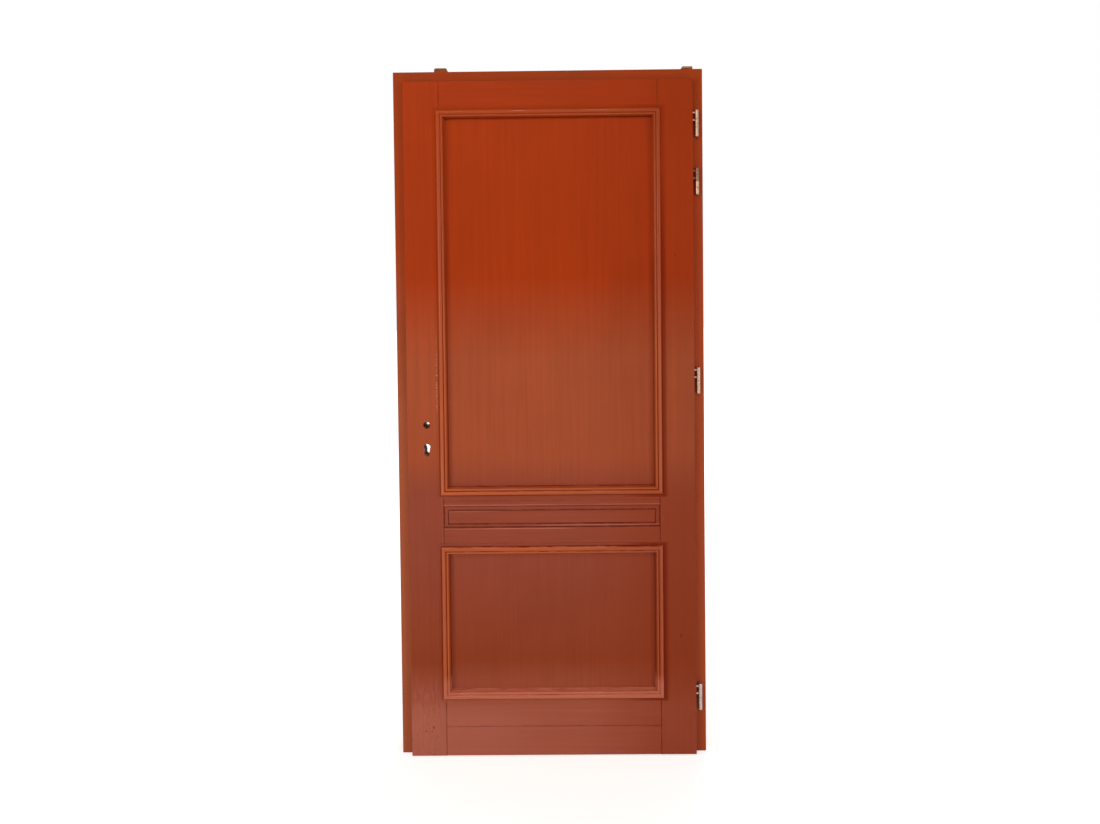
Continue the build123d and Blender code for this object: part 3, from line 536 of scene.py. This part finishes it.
dress(stile_finish(), ["lock_stile", "hinge_stile"])
dress(rail_finish(), [n for n in NODES if "rail" in n])
dress(panel_finish(), [f"{p}_panel" for p in PANELS])
upright_trim = trim_finish("upright_moulding_paint", "z", from_side)
dress(upright_trim, [f"{p}_moulding_{s}" for p in PANELS for s in ("left", "right")])
for panel in PANELS:
    above = f"{panel}_moulding_top"
    below = f"{panel}_moulding_bottom"
    top_trim = trim_finish(f"{above}_paint", "x", from_above(above), under_shadow=True)
    dress(top_trim, [above])
    dress(trim_finish(f"{below}_paint", "x", from_below(below)), [below])
dress(back_bead_finish(), [n for n in NODES if "_back_bead_" in n])
dress(frame_finish("jamb_paint", "z"), ["lock_jamb", "hinge_jamb"])
dress(frame_finish("head_paint", "x"), ["frame_head"])
dress(lug_finish("left_lug_wood", 0.009), ["head_lug_left"])
dress(lug_finish("right_lug_wood", 0.003), ["head_lug_right"])

# The hinge steel is tinted warm, a painted reflection of its warm surroundings; the darker copy
# on one knuckle is painted shade, the paler copy on hinge 4 a painted reflection
hinge_steel = steel_finish("hinge_steel", (176, 142, 122), (116, 82, 66), 0.38, 0.7)
shaded_steel = steel_finish("shaded_hinge_steel", (128, 92, 74), (84, 54, 40), 0.42, 0.8)
lit_steel = steel_finish("lit_hinge_steel", (192, 174, 168), (120, 92, 84), 0.36, 0.6)
worn_steel = steel_finish("worn_steel", (120, 108, 98), (60, 46, 38), 0.4)
spring_steel = steel_finish("spring_steel", (120, 120, 122), (70, 64, 58), 0.35)
lock_steel = steel_finish("lock_steel", (112, 98, 86), (48, 34, 24), 0.42, 0.8)
plate_steel = steel_finish("plate_steel", (168, 162, 154), (96, 84, 72), 0.36)

dress(hinge_steel, [n for n in NODES if n.endswith("_knuckle")])
dress(shaded_steel, ["hinge_2_leaf_knuckle"])
dress(lit_steel, ["hinge_4_leaf_knuckle", "hinge_4_frame_knuckle"])
dress(worn_steel, [n for n in NODES if n.endswith(("_pin", "_washer"))])
dress(spring_steel, ["latch_spring", "bolt_detent_spring"])
dress(lock_steel, ["lock_case", "lock_cover", "cover_screws"])
dress(lock_steel, ["latch_bolt", "dead_bolt", "follower"])
dress(plate_steel, ["strike_plate", "strike_screws", "lock_forend", "forend_screws"])


# Studio: a white floor and background, ceiling lamps, and soft lights at both sides and behind

FLOOR_REACH = 14
WORLD_EVENNESS = 0.3
LAMP_XS = (-0.665, -0.19, 0.33)
LAMP_Y = -2.28
LAMP_Z = 3.2
WARM = (1.0, 0.9, 0.78)
SIDE_WHITE = (1.0, 0.97, 0.94)
BACK_WHITE = (1.0, 0.98, 0.96)


def seen_directly(finish):
    """One where the camera, a mirror or glass looks straight at the surface."""
    path = finish.node("ShaderNodeLightPath").socket.node
    seen = Signal(finish, path.outputs["Is Camera Ray"])
    for ray in ("Is Glossy Ray", "Is Transmission Ray"):
        seen = seen.most(Signal(finish, path.outputs[ray]))
    return seen


def set_floor():
    """A pale floor that keeps the door's shadow and goes white with distance."""
    mesh = bpy.data.meshes.new("floor")
    corners = [(-1, -1), (1, -1), (1, 1), (-1, 1)]
    points = [(x * FLOOR_REACH, y * FLOOR_REACH, 0) for x, y in corners]
    mesh.from_pydata(points, [], [(0, 1, 2, 3)])
    floor = bpy.data.objects.new("floor", mesh)
    bpy.context.scene.collection.objects.link(floor)
    made = Finish("floor_paint")
    spot = made.place()
    away = made.node("ShaderNodeVectorMath", {"operation": "LENGTH"}, spot, output="Value")
    glow = seen_directly(made) * away.ramp(0.4, 2.2, 0.55, 1.0)
    made.set(
        Base_Color=linear((242, 242, 241)),
        Roughness=0.9,
        Specular_IOR_Level=0.1,
        Emission_Color=made.tint(glow, (0, 0, 0), (1, 1, 1)),
        Emission_Strength=1.0,
    )
    mesh.materials.append(made.material)


class WorldFinish(Finish):
    """The world's nodes, made the way a material's are."""

    def __init__(self, world):
        world.use_nodes = True
        self.tree = world.node_tree


def set_world():
    """Even light for the door, and white behind it."""
    world = bpy.data.worlds.new("studio")
    made = WorldFinish(world)
    background = made.tree.nodes["Background"]
    background.inputs["Color"].default_value = (1, 1, 1, 1)
    made.feed(background.inputs["Strength"], seen_directly(made).most(WORLD_EVENNESS))
    bpy.context.scene.world = world


def set_lamp(name, place, target, size, power, colour):
    """A soft round lamp, aimed at a point."""
    data = bpy.data.lights.new(name, "AREA")
    data.shape = "DISK"
    data.size = size
    data.energy = power
    data.color = colour
    lamp = bpy.data.objects.new(name, data)
    bpy.context.scene.collection.objects.link(lamp)
    aim = (Vector(target) - Vector(place)).to_track_quat("-Z", "Y")
    lamp.matrix_world = Matrix.Translation(place) @ aim.to_matrix().to_4x4()


set_floor()
set_world()
for number, lamp_x in enumerate(LAMP_XS, start=1):
    place = (lamp_x, LAMP_Y, LAMP_Z)
    set_lamp(f"ceiling_lamp_{number}", place, (lamp_x, 0, 1.3), 0.18, 5.5, WARM)
set_lamp("left_light", (-2.7, -2.9, 1.7), (0, 0, 0.9), 1.8, 52, SIDE_WHITE)
set_lamp("right_light", (2.7, -2.9, 1.5), (0, 0, 0.9), 1.8, 38, SIDE_WHITE)
set_lamp("back_light", (1.2, 3.4, 2.2), (0, 0, 1.0), 2.0, 34, BACK_WHITE)

bpy.context.scene.view_settings.view_transform = "Standard"
